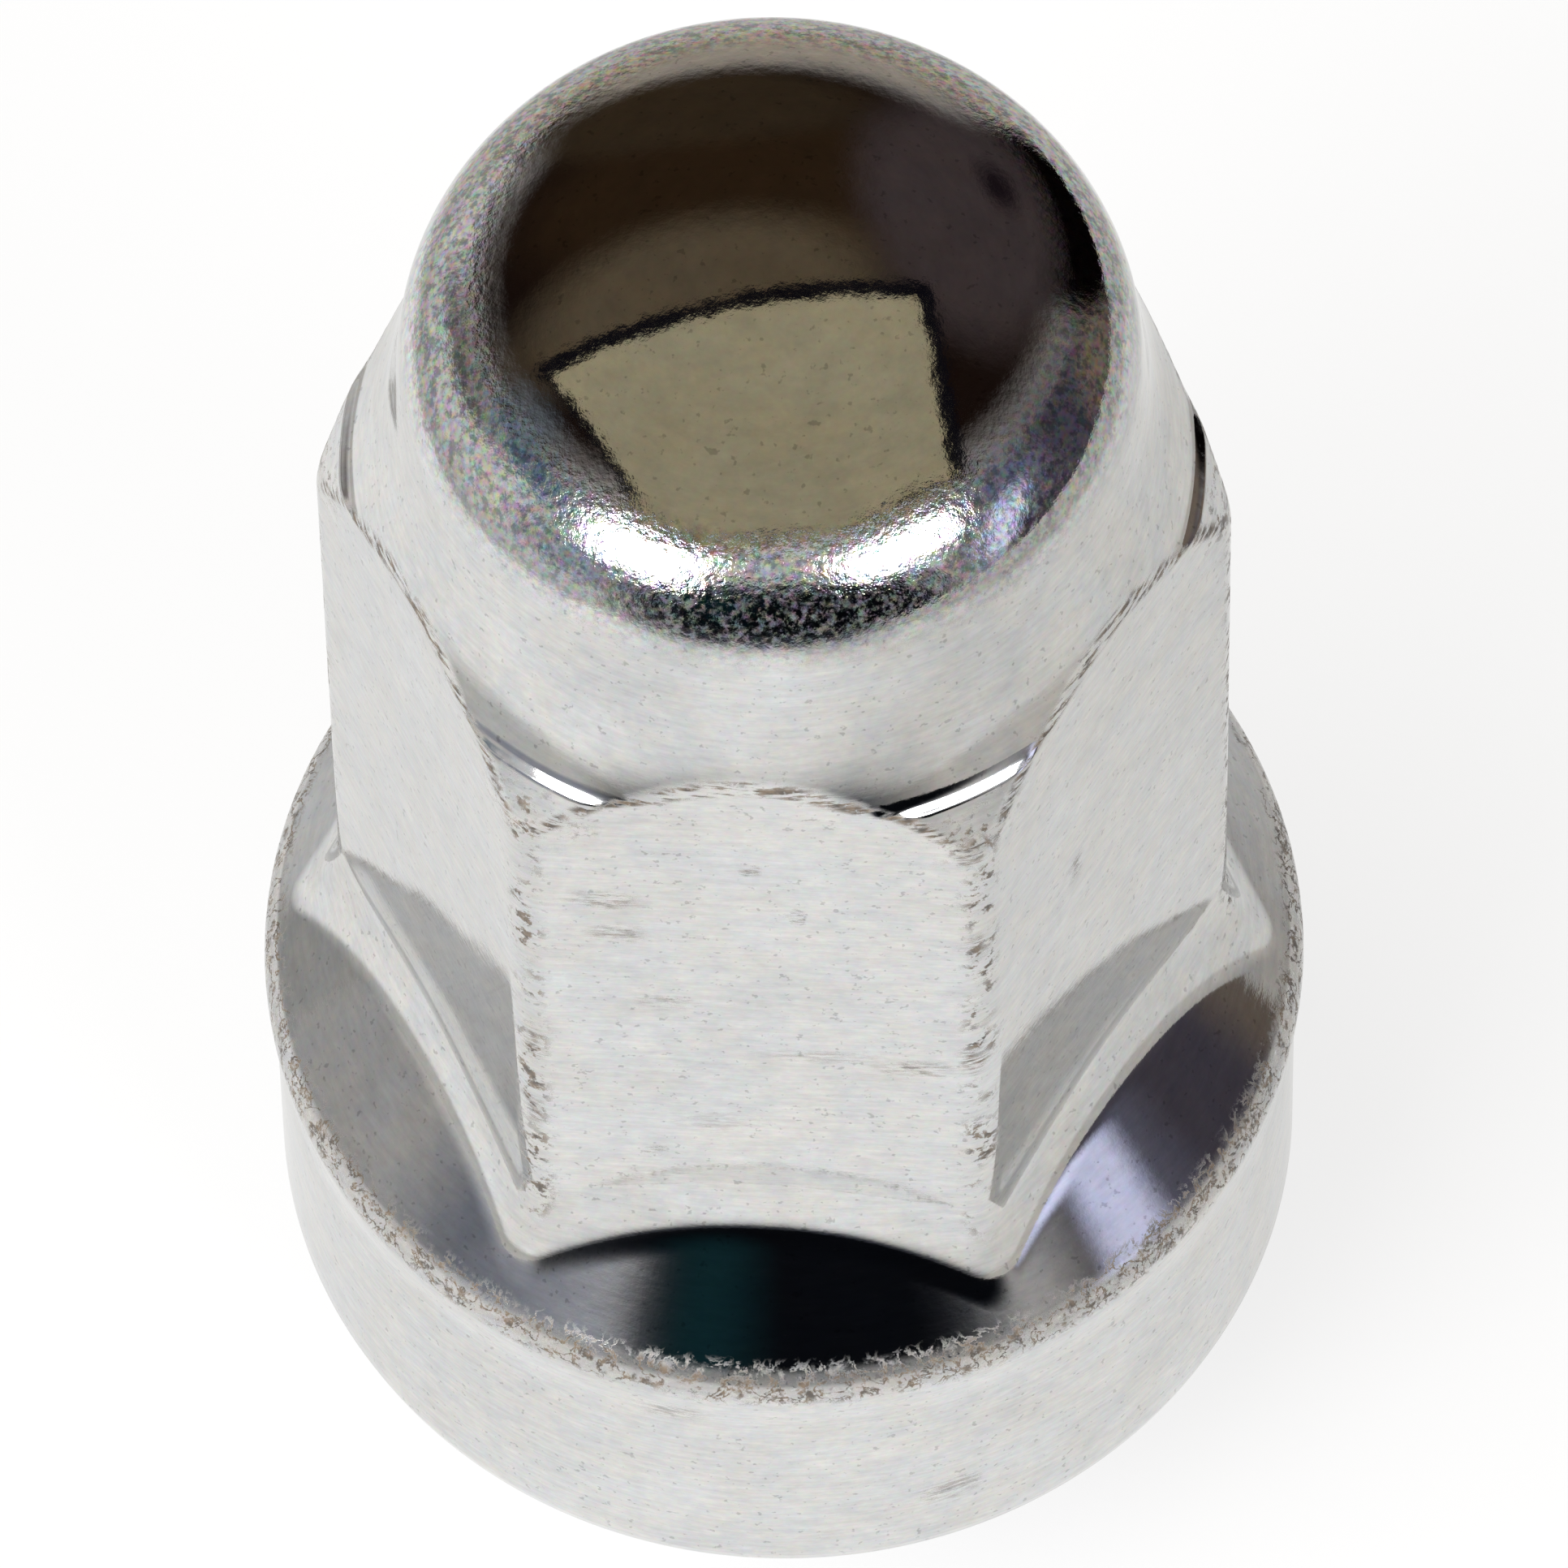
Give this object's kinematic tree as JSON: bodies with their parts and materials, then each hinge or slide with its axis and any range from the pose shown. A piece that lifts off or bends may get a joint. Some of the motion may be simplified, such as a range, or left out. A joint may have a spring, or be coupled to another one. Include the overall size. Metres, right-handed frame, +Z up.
{
  "type": "lug nut",
  "caption": "Closed-end bulge lug nut with a domed cap, long hexagon, round flange and 60 degree conical seat over a blind threaded bore.",
  "frame": {"origin": "centre of the flat annular end of the conical seat, on which the nut stands", "axes": "+Z up along the thread axis towards the dome; two opposite wrench flats face -Y and +Y, so two hexagon corners point along -X and +X"},
  "size_m": [0.0254, 0.0254, 0.0496],
  "materials": {
    "lug_nut": "chrome plate on forged steel, satin on the flats and bright on the dome, with grime at the edges"
  },
  "bodies": {
    "root": {"lug_nut": "lug_nut"}
  },
  "joints": []
}
